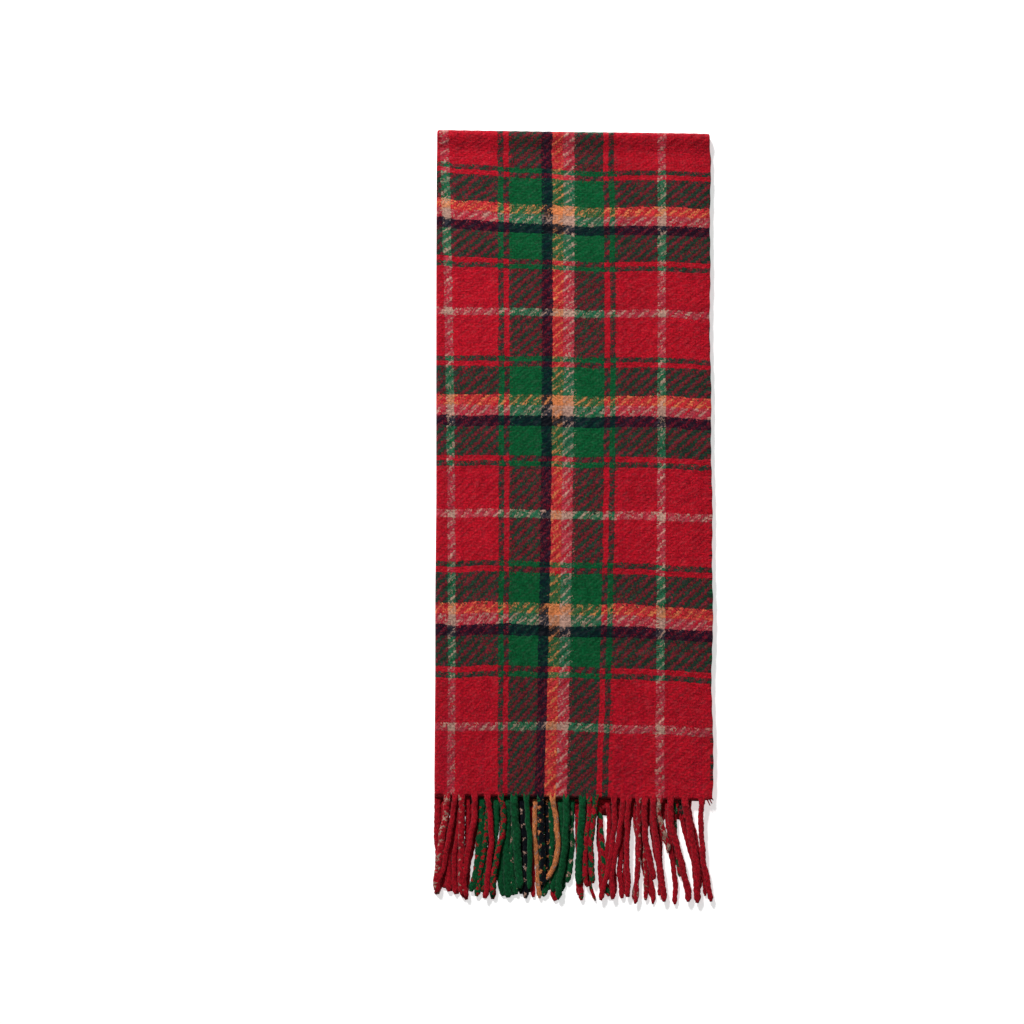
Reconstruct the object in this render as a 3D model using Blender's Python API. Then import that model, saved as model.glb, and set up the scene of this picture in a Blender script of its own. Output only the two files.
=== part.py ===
"""A tartan blanket scarf, folded in four and laid flat with its fringes together.

The cloth is folded once along its length (the long fold, at -X) and then once
across (the cross fold, at +Y). Four layers lie on each other, and all the
fringes end together at -Y. From the surface up the layers are called bottom,
third, second and top. The top layer is a wall of cloth that rolls over both
folds. The other three share one rounded solid with grooves between its layers.

Frame: the origin is on the surface that the scarf lies on, under the middle of
its box, fringes included. +X runs across, from the long fold to the selvedges,
+Y runs along, towards the cross fold, and +Z is up. Sizes are in millimetres
and become metres in place().
"""

import math
import random

import bmesh
import bpy

# Cloth and its stack of four layers
WALL = 3.0  # thickness of one layer of the brushed twill
SEAM = 0.3  # gap between pieces, and inside a folded pair
PAIR_GAP = 1.2  # gap between the two folded pairs
MIDDLE = 2 * WALL + SEAM + PAIR_GAP / 2  # height of the cross fold's axis
PAIR = 2 * WALL + SEAM  # height of a folded pair
LAYERS = {  # lowest height of each layer
    "bottom": 0.0,
    "third": WALL + SEAM,
    "second": PAIR + PAIR_GAP,
    "top": PAIR + PAIR_GAP + WALL + SEAM,
}
SETTLES = (WALL, LAYERS["second"])  # what lies between these heights takes up the relief

# Outline, seen from above
FOLD_LEFT = 474.5  # the cross fold's axis at the long fold
FOLD_RIGHT = 469.6  # and at the selvedges
FOLD_SPAN = (-168.0, 170.0)  # the X of those two
EDGES = (  # along Y, X of the long fold, X of the selvedges
    (475.0, -167.5, 168.7),
    (443.0, -168.1, 171.2),
    (270.0, -168.7, 170.0),
    (23.0, -168.7, 172.8),
    (-101.0, -169.9, 173.7),
    (-200.0, -169.9, 172.4),
    (-323.0, -171.0, 174.6),
    (-385.0, -170.2, 172.6),
)
HEMS = {  # Y of each layer's hem at the long fold and at the selvedges
    "top": (-341.0, -347.5),
    "second": (-345.0, -353.5),
    "third": (-352.5, -370.5),
    "bottom": (-354.0, -373.5),
}
TUCK = 25.0  # the lower layers lie askew: their selvedges are this far in at the hem
TUCK_SPAN = (-340.0, -240.0)  # and are drawn in between these Y

# Folds
HAIRPIN = PAIR / 2  # outer radius of the long fold of a pair
LIP = 6.0  # what the top wall keeps of the layer under it, past the long fold
RETURN = 8.0  # what it keeps of the bottom layer, past the cross fold
ARC_STEPS = 8  # facets round the cross fold
HAIRPIN_STEPS = 5  # facets round the long fold
NOTCH = LIP + WALL + SEAM + 0.45  # clears the fold where it goes round the corner
BEYOND = 20.0  # the cutter for that runs this far past the cloth
INNER_ROLL = 3.5  # radius of the hidden layers inside the cross fold

# Lattice that the layers share, so that their faces stay parallel
ROWS_AT_FOLD = (0.0, 9.5, 18.0, 27.0, 40.0, 60.0)  # distances from the cross fold
LONG_ROWS = 19  # even rows from there to the hem
LAST_ROW = 14.0  # the last one is this far inside the top layer's hem
COLUMNS = 12
FIRST_COLUMN = 20.0  # distance of the first column from the long fold
LAST_COLUMN = 12.0  # and of the last one from the selvedge
TUCKED_COLUMN = 9.0  # how far apart columns stay where the selvedge is drawn in
GROOVE = 6.0  # depth of the grooves between hidden layers
EASE = 0.8  # how far a layer's corners are rounded in
CREASE = 0.5  # depth of the creases that the grooves leave on the folded sides

# Relief of the settled cloth
FOLD_SWELL = 2.0  # the cross fold stands a little proud
FOLD_SWELL_WIDTH = 7.0
TROUGH = 2.2  # and a shallow trough runs beside it
TROUGH_PLACE = 17.0
TROUGH_WIDTH = 8.0
EDGE_SWELL = 0.7  # the long fold is springy too
EDGE_SWELL_WIDTH = 11.0
WAVES = (  # broad waves: height, wavelength along X, wavelength along Y, phase
    (0.45, 410.0, 520.0, 0.4),
    (0.35, -290.0, 350.0, 2.1),
    (0.25, 900.0, 190.0, 4.0),
)
CALM = (-345.0, -260.0)  # the waves die out between these, before the hem

# Fringes
STRIP = 3.5  # backing strip that carries the strands
FRONT = 3  # the side of its section, of four, that they grow from
STRAND_SEGMENTS = 7
STRAND_WIDTH = (6.4, 4.8)  # at its root and at its tip
STRAND_INSET = 0.25  # above and below, inside its layer
KNEE = 0.45  # how far along a strand its middle point is
DROOP = 0.30  # share of its height that the fringe loses towards the tips
DROOP_SPAN = (-352.0, -470.0)
TOP_STRANDS = (  # X at the root, at the knee and at the tip, and Y of the tip
    (-152.0, -164.6, -172.5, -459.5),
    (-144.5, -152.5, -163.0, -463.5),
    (-136.3, -138.2, -141.5, -465.4),
    (-121.7, -127.9, -130.5, -460.0),
    (-104.1, -100.1, -107.5, -469.0),
    (-88.0, -91.5, -97.5, -467.5),
    (-72.1, -67.1, -68.1, -458.0),
    (-55.5, -53.0, -53.5, -458.0),
    (-41.0, -37.9, -38.3, -456.0),
    (-24.1, -18.6, -30.5, -443.0),
    (-8.0, -8.7, -20.0, -468.0),
    (11.5, 8.3, 8.9, -453.0),
    (24.1, 16.9, 17.5, -454.0),
    (33.4, 25.3, 26.6, -448.5),
    (47.2, 43.0, 40.5, -464.0),
    (58.4, 52.2, 49.5, -469.0),
    (66.6, 62.2, 58.3, -460.0),
    (75.0, 70.6, 68.8, -459.0),
    (84.0, 82.4, 76.5, -475.0),
    (92.6, 92.2, 98.7, -447.5),
    (102.6, 103.2, 108.6, -469.0),
    (111.8, 114.1, 118.9, -412.0),
    (122.0, 124.8, 142.8, -443.5),
    (140.0, 150.0, 155.0, -476.0),
    (160.1, 161.8, 172.5, -474.5),
)
SECOND_STRANDS = (
    (-163.5, -166.0, -166.5, -452.0),
    (-156.0, -157.5, -153.5, -463.5),
    (-143.5, -146.0, -146.0, -467.5),
    (-131.0, -137.0, -138.0, -466.0),
    (-118.5, -119.5, -125.5, -461.5),
    (-106.0, -109.0, -117.0, -467.5),
    (-94.5, -95.5, -100.0, -470.0),
    (-83.0, -85.5, -88.4, -470.5),
    (-75.0, -76.0, -73.5, -458.5),
    (-62.5, -60.0, -60.5, -469.5),
    (-46.0, -44.5, -42.0, -468.5),
    (-32.5, -30.3, -35.0, -459.0),
    (-22.0, -23.0, -26.5, -463.0),
    (1.0, -1.0, -4.5, -451.0),
    (13.0, 11.0, 12.5, -474.0),
    (22.0, 20.5, 27.5, -474.0),
    (37.0, 36.5, 46.5, -463.5),
    (54.0, 58.0, 60.0, -468.5),
    (71.5, 74.5, 73.5, -471.0),
    (93.0, 94.5, 90.5, -475.0),
    (104.0, 105.5, 100.0, -479.0),
    (117.0, 121.0, 127.5, -477.0),
    (130.0, 133.5, 138.5, -446.0),
    (143.5, 151.5, 156.0, -463.5),
)
HIDDEN_STRANDS = 25  # in each of the two lower layers
HIDDEN_SPAN = (-161.5, 143.0)
HIDDEN_LEAN = 20.0  # how far the tips lean out at the selvedges
HIDDEN_TIPS = (-466.0, -477.0)  # Y of the tips at the two ends of the row
HIDDEN_STRAY = 2.2  # how far a hidden strand wanders sideways
LONGEST_TIP = -481.4
LONGEST_STRAND = 22  # the strand of the bottom layer that reaches it

SHARP = math.radians(50)  # edges bent by more than this are shaded sharp
RED = (0.381, 0.012, 0.020)
RED_SHADE = (0.300, 0.010, 0.016)
GREEN = (0.010, 0.090, 0.030)
GREEN_SHADE = (0.008, 0.065, 0.024)


def mix(low, high, share):
    return low + (high - low) * share


def smooth(low, high, value):
    """0 at low, 1 at high, with a soft start and end."""
    share = min(max((value - low) / (high - low), 0.0), 1.0)
    return share * share * (3.0 - 2.0 * share)


def edges_at(along):
    """X of the long fold and of the selvedges at this Y."""
    if along >= EDGES[0][0]:
        return EDGES[0][1:]
    for above, below in zip(EDGES, EDGES[1:]):
        if along >= below[0]:
            share = (above[0] - along) / (above[0] - below[0])
            return tuple(mix(a, b, share) for a, b in zip(above[1:], below[1:]))
    return EDGES[-1][1:]


def tuck_at(along):
    """How far inside the top layer's selvedge the lower ones lie at this Y."""
    return TUCK * (1.0 - smooth(*TUCK_SPAN, along))


def across_share(across):
    return (across - FOLD_SPAN[0]) / (FOLD_SPAN[1] - FOLD_SPAN[0])


def fold_at(across):
    """Y of the cross fold's axis at this X."""
    return mix(FOLD_LEFT, FOLD_RIGHT, across_share(across))


def hem_at(layer, across):
    return mix(*HEMS[layer], across_share(across))


def relief(across, along):
    """How far the top layer stands above its plain height."""
    inside = fold_at(across) - along
    from_edge = across - edges_at(along)[0]
    swell = FOLD_SWELL * math.exp(-((inside / FOLD_SWELL_WIDTH) ** 2))
    trough = -TROUGH * math.exp(-(((inside - TROUGH_PLACE) / TROUGH_WIDTH) ** 2))
    edge = EDGE_SWELL * math.exp(-((from_edge / EDGE_SWELL_WIDTH) ** 2))
    waves = 0.0
    for height, wave_x, wave_y, phase in WAVES:
        waves += height * math.sin(math.tau * (across / wave_x + along / wave_y) + phase)
    return swell + trough + edge + waves * smooth(*CALM, along)


def place(across, along, up):
    """A point of the settled scarf, in metres. The bottom layer stays flat.

    The upper pair moves as one, so its layers keep their thickness.
    """
    share = (up - SETTLES[0]) / (SETTLES[1] - SETTLES[0])
    up += relief(across, along) * min(max(share, 0.0), 1.0)
    up *= 1.0 - DROOP * smooth(*DROOP_SPAN, along)
    return (across / 1000, along / 1000, up / 1000)


def row_lines():
    """Distances of the lattice's rows, as shares from the cross fold to the hem."""
    return [("near", inside) for inside in ROWS_AT_FOLD] + [
        ("far", (step + 1) / LONG_ROWS) for step in range(LONG_ROWS)
    ]


def row_at(kind, value, across):
    """Y of a lattice row at this X."""
    start = fold_at(across)
    if kind == "near":
        return start - value
    last = hem_at("top", across) + LAST_ROW
    return mix(start - ROWS_AT_FOLD[-1], last, value)


def column_at(index, along):
    """X of an inner lattice column at this Y."""
    left, right = edges_at(along)
    share = (index - 1) / (COLUMNS - 2)
    return mix(left + FIRST_COLUMN, right - LAST_COLUMN, share)


def material(name, colour, roughness=0.95):
    made = bpy.data.materials.new(name)
    made.use_nodes = True
    shader = made.node_tree.nodes["Principled BSDF"]
    shader.inputs["Base Color"].default_value = (*colour, 1.0)
    shader.inputs["Roughness"].default_value = roughness
    shader.inputs["Metallic"].default_value = 0.0
    shader.inputs["Sheen Weight"].default_value = 0.3
    made.diffuse_color = (*colour, 1.0)
    return made


def add_object(name, mesh, collection, colour):
    built = bpy.data.objects.new(name, mesh)
    collection.objects.link(built)
    mesh.materials.append(material(name.replace("_", " "), colour))
    return built


def mesh_from(shape, name):
    bmesh.ops.recalc_face_normals(shape, faces=shape.faces)
    mesh = bpy.data.meshes.new(name)
    shape.to_mesh(mesh)
    shape.free()
    mesh.shade_smooth()
    mesh.set_sharp_from_angle(angle=SHARP)
    return mesh


def loft(shape, rings):
    """Joins each ring of vertices to the next. Returns the faces, strip by strip."""
    strips = []
    for one, other in zip(rings, rings[1:]):
        strip = []
        for step in range(len(one)):
            corners = (one[step - 1], one[step], other[step], other[step - 1])
            strip.append(shape.faces.new(corners))
        strips.append(strip)
    return strips


def top_section():
    """The top wall cut across: the anchor of each point's X, and its height over the axis.

    It runs over the wall from the selvedge, round the long fold and its lip, and
    back under the wall.
    """
    outer = LAYERS["top"] + WALL - MIDDLE
    inner = LAYERS["top"] - MIDDLE
    lip_top = inner - SEAM
    lip_bottom = lip_top - WALL
    turn = (outer + lip_bottom) / 2
    columns = list(range(1, COLUMNS))
    section = [("right", EASE, outer)]
    section += [("column", index, outer) for index in reversed(columns)]
    for step in range(HAIRPIN_STEPS + 1):
        angle = math.pi * step / HAIRPIN_STEPS
        reach = HAIRPIN * (1.0 - math.sin(angle))
        section.append(("left", reach, turn + HAIRPIN * math.cos(angle)))
    section.append(("left", HAIRPIN + LIP, lip_bottom))
    section.append(("left", HAIRPIN + LIP, lip_top))
    section.append(("left", HAIRPIN, lip_top))
    section.append(("left", HAIRPIN, inner))
    section += [("column", index, inner) for index in columns]
    section.append(("right", EASE, inner))
    section.append(("right", 0.0, (outer + inner) / 2))
    return section


def anchored(kind, value, along):
    left, right = edges_at(along)
    if kind == "left":
        return left + value
    if kind == "right":
        return right - value
    return column_at(value, along)


def top_layer(collection):
    """The upper layer: its section, swept from the hem to the cross fold and round it."""
    shape = bmesh.new()
    section = top_section()
    sections = []

    def sweep(line, turned=0.0):
        """Adds the section at a line across the cloth, turned about the cross fold's axis."""
        ring = []
        for kind, value, over in section:
            across = anchored(kind, value, line(0.0))
            across = anchored(kind, value, line(across))
            along = line(across) + over * math.sin(turned)
            up = MIDDLE + over * math.cos(turned)
            ring.append(shape.verts.new(place(across, along, up)))
        sections.append(ring)

    sweep(lambda across: hem_at("top", across) + STRIP + SEAM)
    for kind, value in reversed(row_lines()):
        sweep(lambda across: row_at(kind, value, across))
    for step in range(1, ARC_STEPS + 1):
        sweep(fold_at, math.pi * step / ARC_STEPS)
    sweep(lambda across: fold_at(across) - RETURN, math.pi)
    loft(shape, sections)
    shape.faces.new(sections[0])
    shape.faces.new(sections[-1])
    return add_object("top_layer", mesh_from(shape, "top_layer"), collection, RED)


def hairpin_inset(up):
    """How far the lower pair's long fold is rounded in at this height."""
    return HAIRPIN - math.sqrt(max(HAIRPIN**2 - (up - HAIRPIN) ** 2, 0.0))


def roll_reach(up):
    """How far past the cross fold's axis the hidden layers reach at this height."""
    return math.sqrt(max(INNER_ROLL**2 - (up - MIDDLE) ** 2, 0.0))


def hidden_levels():
    """Rings of the hidden layers, bottom to top.

    Columns: height, inset at the long fold, inset at the selvedges, layer whose
    hem it follows, inset at the hem, and reach past the cross fold's axis.
    """
    clear = LIP + HAIRPIN + SEAM
    back = -(RETURN + SEAM)
    rows = []
    for layer, start in (("bottom", 0.0), ("third", LAYERS["third"])):
        for share, inset in ((0.0, EASE), (0.5, 0.0), (1.0, EASE)):
            up = start + share * WALL
            reach = back if layer == "bottom" else roll_reach(up)
            rows.append((up, hairpin_inset(up), inset, layer, inset, reach))
    third_top = LAYERS["third"] + WALL
    deep = clear + GROOVE
    second = LAYERS["second"]
    split = [
        (WALL, CREASE, GROOVE, "bottom", GROOVE, back - CREASE),
        (PAIR - WALL, CREASE, GROOVE, "third", GROOVE, back - CREASE),
    ]
    gap = [
        (third_top, deep, GROOVE, "third", GROOVE, roll_reach(third_top) - CREASE),
        (second, deep, GROOVE, "second", GROOVE, roll_reach(second) - CREASE),
    ]
    upper = []
    for share, inset in ((0.0, EASE), (0.5, 0.0), (1.0, EASE)):
        up = second + share * WALL
        upper.append((up, clear, inset, "second", inset, roll_reach(up)))
    return rows[:3] + split + rows[3:] + gap + upper


def folded_under(collection, helpers):
    """The three hidden layers: rings from the surface up, closed by the lattice on top."""
    shape = bmesh.new()
    lines = row_lines()
    rows = len(lines) + 1

    def point(column, row, level):
        up, left_in, right_in, layer, hem_in, reach = level
        across = column_at(min(max(column, 1), COLUMNS - 1), 0.0)
        for _ in range(2):
            if row == 0:
                along = fold_at(across) + reach
            elif row == rows - 1:
                along = hem_at(layer, across) + STRIP + SEAM + hem_in
            else:
                along = row_at(*lines[row], across)
            left, right = edges_at(along)
            right -= tuck_at(along)
            if column == 0:
                across = left + left_in
            elif column == COLUMNS:
                across = right - right_in
            else:
                inmost = right - TUCKED_COLUMN * (COLUMNS - column)
                across = min(column_at(column, along), inmost)
        return place(across, along, up)

    rim = [(column, 0) for column in range(COLUMNS)]
    rim += [(COLUMNS, row) for row in range(rows - 1)]
    rim += [(column, rows - 1) for column in range(COLUMNS, 0, -1)]
    rim += [(0, row) for row in range(rows - 1, 0, -1)]
    levels = hidden_levels()
    rings = [[shape.verts.new(point(*spot, level)) for spot in rim] for level in levels]
    loft(shape, rings)
    shape.faces.new(rings[0])
    top = dict(zip(rim, rings[-1]))
    for column in range(1, COLUMNS):
        for row in range(1, rows - 1):
            top[column, row] = shape.verts.new(point(column, row, levels[-1]))
    for row in range(rows - 1):
        for column in range(COLUMNS):
            after = column + 1
            corners = ((column, row), (after, row), (after, row + 1), (column, row + 1))
            shape.faces.new([top[corner] for corner in corners])
    built = add_object(
        "folded_under", mesh_from(shape, "folded_under"), collection, RED_SHADE
    )
    cut = built.modifiers.new("corner", "BOOLEAN")
    cut.operation = "DIFFERENCE"
    cut.object = corner_cutter(helpers)
    return built


def corner_cutter(helpers):
    """Clears the corner where the long fold of the top layer goes round the cross fold."""
    corner = edges_at(FOLD_LEFT)[0]
    shape = bmesh.new()
    bmesh.ops.create_cube(shape, size=1.0)
    turn = fold_at(corner)
    low = (corner - BEYOND, turn - RETURN - 2 * SEAM, -BEYOND)
    high = (corner + NOTCH, turn + MIDDLE + BEYOND, 2 * MIDDLE + BEYOND)
    for vertex in shape.verts:
        ends = [high[axis] if vertex.co[axis] > 0 else low[axis] for axis in range(3)]
        vertex.co = [end / 1000 for end in ends]
    cutter = bpy.data.objects.new("corner_cutter", mesh_from(shape, "corner_cutter"))
    helpers.objects.link(cutter)
    cutter.display_type = "WIRE"
    cutter.hide_render = True
    return cutter


def strand_path(strand, start, share):
    """X and Y of a strand's middle line, through its root, knee and tip."""
    root, knee, tip, end = strand
    ends = (share - KNEE) * (share - 1.0) / KNEE
    middle = share * (share - 1.0) / (KNEE * (KNEE - 1.0))
    last = share * (share - KNEE) / (1.0 - KNEE)
    return ends * root + middle * knee + last * tip, mix(start, end, share)


def fringe(layer, strands, colour, collection):
    """A strip along the hem, with a strand extruded from its front at each root."""
    bottom = LAYERS[layer] + STRAND_INSET
    top = LAYERS[layer] + WALL - STRAND_INSET
    half = STRAND_WIDTH[0] / 2
    stations = []
    for strand in strands:
        stations += [strand[0] - half, strand[0] + half]
    left, right = edges_at(hem_at(layer, 0.0))
    if layer != "top":
        right -= TUCK
    stations = [left + EASE, *stations, right - EASE]
    shape = bmesh.new()
    rings = []
    for across in stations:
        hem = hem_at(layer, across)
        corners = ((STRIP, bottom), (STRIP, top), (0.0, top), (0.0, bottom))
        rings.append(
            [shape.verts.new(place(across, hem + back, up)) for back, up in corners]
        )
    strips = loft(shape, rings)
    shape.faces.new(rings[0])
    shape.faces.new(rings[-1])
    for number, strand in enumerate(strands):
        left_ring, right_ring = rings[2 * number + 1], rings[2 * number + 2]
        root = strips[2 * number + 1][FRONT]  # the strip's front, between those two
        sides = [1 if corner in right_ring else -1 for corner in root.verts]
        heights = [
            top if corner in (left_ring[2], right_ring[2]) else bottom
            for corner in root.verts
        ]
        grow_strand(shape, root, strand, hem_at(layer, strand[0]), sides, heights)
    name = "fringe_" + layer
    return add_object(name, mesh_from(shape, name), collection, colour)


def grow_strand(shape, face, strand, start, sides, heights):
    """Extrudes the root face along the strand's line, section by section."""
    for step in range(1, STRAND_SEGMENTS + 1):
        share = step / STRAND_SEGMENTS
        face = bmesh.ops.extrude_discrete_faces(shape, faces=[face])["faces"][0]
        across, along = strand_path(strand, start, share)
        half = mix(*STRAND_WIDTH, share) / 2
        for corner, side, height in zip(face.verts, sides, heights):
            corner.co = place(across + side * half, along, height)


def hidden_strands(seed):
    """Even strands for a hidden layer, each straying a little."""
    stray = random.Random(seed)
    strands = []
    for number in range(HIDDEN_STRANDS):
        share = number / (HIDDEN_STRANDS - 1)
        lean = HIDDEN_LEAN * share**3
        root = mix(*HIDDEN_SPAN, share) + stray.uniform(-0.6, 0.6)
        knee = root + KNEE * lean + stray.uniform(-HIDDEN_STRAY, HIDDEN_STRAY)
        tip = knee + (1.0 - KNEE) * lean + stray.uniform(-HIDDEN_STRAY, HIDDEN_STRAY)
        end = mix(*HIDDEN_TIPS, share) + stray.uniform(-2.0, 4.0)
        strands.append((root, knee, tip, end))
    return strands


def build_scarf():
    for old in list(bpy.data.objects):
        bpy.data.objects.remove(old, do_unlink=True)
    scarf = bpy.data.collections.new("tartan blanket scarf")
    helpers = bpy.data.collections.new("cutters")
    helpers.hide_render = True
    for collection in (scarf, helpers):
        bpy.context.scene.collection.children.link(collection)
    top_layer(scarf)
    folded_under(scarf, helpers)
    bottom_strands = hidden_strands(11)
    bottom_strands[LONGEST_STRAND] = (*bottom_strands[LONGEST_STRAND][:3], LONGEST_TIP)
    fringe("top", TOP_STRANDS, RED, scarf)
    fringe("second", SECOND_STRANDS, GREEN, scarf)
    fringe("third", hidden_strands(5), GREEN_SHADE, scarf)
    fringe("bottom", bottom_strands, RED_SHADE, scarf)


build_scarf()
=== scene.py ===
# A tartan blanket scarf of brushed wool, folded in four and lying flat.

import math
import random

import bpy
import numpy as np
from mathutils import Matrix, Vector


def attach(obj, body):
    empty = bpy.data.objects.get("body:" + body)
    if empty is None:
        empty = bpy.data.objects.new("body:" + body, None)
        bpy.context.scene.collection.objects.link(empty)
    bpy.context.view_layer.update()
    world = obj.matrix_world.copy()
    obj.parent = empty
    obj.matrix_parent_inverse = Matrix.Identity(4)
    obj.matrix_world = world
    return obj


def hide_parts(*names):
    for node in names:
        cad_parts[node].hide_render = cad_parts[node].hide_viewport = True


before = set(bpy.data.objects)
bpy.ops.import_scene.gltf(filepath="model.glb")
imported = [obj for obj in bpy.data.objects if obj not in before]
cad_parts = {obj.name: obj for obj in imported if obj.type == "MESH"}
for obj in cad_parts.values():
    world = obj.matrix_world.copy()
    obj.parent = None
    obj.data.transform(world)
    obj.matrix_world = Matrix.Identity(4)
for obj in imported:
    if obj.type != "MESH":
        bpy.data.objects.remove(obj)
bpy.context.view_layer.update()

# Sizes that the pieces share, in millimetres. The four layers are called
# bottom, third, second and top, from the surface up.

wall = 3.0  # one layer of cloth
seam = 0.3  # gap inside a folded pair
pairGap = 1.2  # gap between the two pairs
middle = 2 * wall + seam + pairGap / 2  # height of the cross fold's axis
layers = {"bottom": 0.0, "third": wall + seam}
layers["second"] = 2 * wall + seam + pairGap
layers["top"] = layers["second"] + wall + seam
settled = layers["second"]  # below this height the relief fades out to the surface
metre = 1000.0

# along Y, X of the long fold, X of the selvedges
edges = (
    (475.0, -167.5, 168.7),
    (443.0, -168.1, 171.2),
    (270.0, -168.7, 170.0),
    (23.0, -168.7, 172.8),
    (-101.0, -169.9, 173.7),
    (-200.0, -169.9, 172.4),
    (-323.0, -171.0, 174.6),
    (-385.0, -170.2, 172.6),
)
foldSpan = (-168.0, 170.0)
foldEnds = (474.5, 469.6)  # Y of the cross fold's axis at those two X
hems = {  # Y of each layer's hem at the long fold and at the selvedges
    "top": (-341.0, -347.5),
    "second": (-345.0, -353.5),
    "third": (-352.5, -370.5),
    "bottom": (-354.0, -373.5),
}
# the lower layers lie askew: near the hem their selvedges are this far inside
tuck = 25.0
tuckSpan = (-240.0, -340.0)
# and they are pressed flatter there than the top layer
press = {"third": 0.8, "second": 1.9, "more": 0.6, "length": 28.0}

# relief of the upper layer: height, place inside the cross fold, width
foldRelief = ((2.7, 0.0, 9.0), (-1.5, 18.5, 9.0), (-1.9, 30.0, 24.0))
edgeSwell = (-0.7, 11.0)  # height and width along the long fold, pressed flat
edgeDroop = (1.3, 7.0)  # and how the selvedge hangs
# broad waves: height, wavelength along X, wavelength along Y, phase
waves = (
    (0.45, 410.0, 520.0, 0.4),
    (0.35, -290.0, 350.0, 2.1),
    (0.25, 900.0, 190.0, 4.0),
)
calmSpan = (-345.0, -260.0)  # Y between which the waves grow, from none at the hem
# creases: X, Y, direction in degrees, half length, half width, height
creases = (
    (-118.0, 408.0, 14.0, 60.0, 9.0, -0.9),
    (-20.0, 428.0, -6.0, 95.0, 8.0, -0.6),
    (112.0, 396.0, -19.0, 46.0, 8.0, -0.7),
    (-141.0, 250.0, 66.0, 52.0, 7.0, -0.6),
    (140.0, 205.0, 118.0, 44.0, 9.0, 0.7),
    (-60.0, 118.0, 24.0, 70.0, 13.0, 0.6),
    (96.0, 20.0, -12.0, 62.0, 11.0, -0.6),
    (-132.0, -96.0, -34.0, 48.0, 9.0, 0.8),
    (28.0, -168.0, 9.0, 88.0, 12.0, -0.6),
    (148.0, -214.0, -63.0, 40.0, 8.0, -0.9),
    (-92.0, -268.0, 31.0, 56.0, 10.0, -0.7),
    (92.0, -306.0, -8.0, 52.0, 9.0, 0.6),
)
# they are uneven: how far one strays from its line, what share of its height
# comes and goes, and the length of both waves
creaseStray = (2.5, 17.0)
creaseSwell = (0.3, 11.0)
droop = 0.30  # share of its height that the fringe loses towards the tips
droopSpan = (-352.0, -470.0)

# Where the threads run.

# warp ends: number, and X near the cross fold, half way and near the hem
warpRows = (455.5, 40.2, -304.7)
warpPlaces = (
    (-6.0, -180.4, -170.0, -168.7),
    (0.0, -158.2, -150.2, -150.2),
    (18.5, -89.0, -87.8, -89.0),
    (37.5, -25.3, -26.2, -34.0),
    (45.5, 2.5, 0.4, -6.2),
    (59.5, 47.6, 48.8, 40.8),
    (77.0, 110.6, 109.8, 108.2),
    (95.0, 171.6, 171.0, 172.7),
)
lastWarp = 94.4  # the selvedge is bound with this end
threadPitch = 3.3
weftStart = 256.22  # Y of weft 0, on the line where the wefts are counted
weftPitch = 3.12616
weftSpread = 0.00134804  # they lie a little wider apart towards the hem
# how far the wefts sag below that line: rows at these Y, columns at these X
sagRows = (-261.4, -127.9, 8.0, 127.9, 255.2, 375.1)
sagColumns = (-163.8, -144.0, -111.9, -74.8, -24.1, 19.2, 68.6, 116.8, 157.6)
sags = (
    (0.2, 1.0, 0.0, 0.0, -0.9, 1.0, 3.3, 4.2, 7.3),
    (1.2, 2.5, 0.0, 0.6, 3.7, 3.7, 3.2, 7.4, 9.9),
    (1.0, 1.5, 0.0, 1.2, 2.5, 3.8, 3.7, 5.6, 7.3),
    (-1.2, 0.0, 0.0, 0.0, 0.0, 2.5, 1.2, 1.2, 4.9),
    (-0.6, 0.0, 0.0, 0.6, 1.2, 3.3, 2.7, 2.8, 5.8),
    (-4.9, -1.2, 0.0, 3.7, 4.9, 8.7, 7.4, 7.4, 9.3),
)

# The fringe strands. X at the root, a third and two thirds of the way and at
# the tip, Y of the tip, width, and the yarns of the two plies.

topStrands = (
    (-155.0, -159.5, -165.5, -167.0, -463.0, 10.0, "rbrb"),
    (-145.0, -151.0, -158.0, -170.5, -460.5, 8.0, "rrrr"),
    (-137.0, -137.0, -137.5, -136.5, -465.5, 9.0, "rrrb"),
    (-121.0, -124.0, -132.0, -131.5, -469.0, 8.5, "rrrr"),
    (-105.0, -100.5, -103.0, -108.0, -470.5, 8.0, "rrrr"),
    (-88.5, -86.5, -95.0, -98.5, -466.5, 8.0, "grrg"),
    (-72.5, -70.0, -67.5, -66.0, -458.0, 11.5, "gggg"),
    (-57.0, -54.0, -52.5, -54.5, -459.0, 7.5, "gggg"),
    (-39.5, -38.5, -37.5, -36.0, -454.0, 10.0, "nong"),
    (-24.5, -19.0, -19.0, -31.0, -447.5, 7.5, "ooob"),
    (-8.0, -8.0, -12.5, -18.5, -470.5, 10.0, "gggg"),
    (12.5, 11.0, 8.5, 8.5, -453.0, 10.5, "gggg"),
    (21.0, 19.0, 15.5, 19.0, -456.5, 7.5, "rrrg"),
    (28.5, 24.5, 23.0, 25.5, -452.0, 8.5, "rggr"),
    (51.5, 51.0, 45.0, 34.5, -473.0, 8.0, "rrrr"),
    (62.5, 58.0, 50.5, 50.5, -471.5, 8.0, "rrrr"),
    (70.0, 67.5, 68.0, 68.5, -469.0, 8.0, "rrrr"),
    (81.5, 82.0, 81.0, 77.5, -477.5, 7.0, "rbrr"),
    (89.5, 89.5, 94.0, 101.5, -447.0, 9.0, "rrrr"),
    (100.0, 103.0, 109.0, 113.5, -475.0, 8.5, "rrrr"),
    (108.0, 108.0, 115.0, 118.0, -411.0, 7.0, "rbbr"),
    (121.5, 125.5, 137.0, 143.5, -475.0, 9.5, "rrrr"),
    (139.0, 147.5, 154.0, 154.0, -476.5, 10.0, "rrrr"),
    (160.0, 159.5, 164.5, 172.0, -475.0, 8.0, "rrrr"),
)
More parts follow.
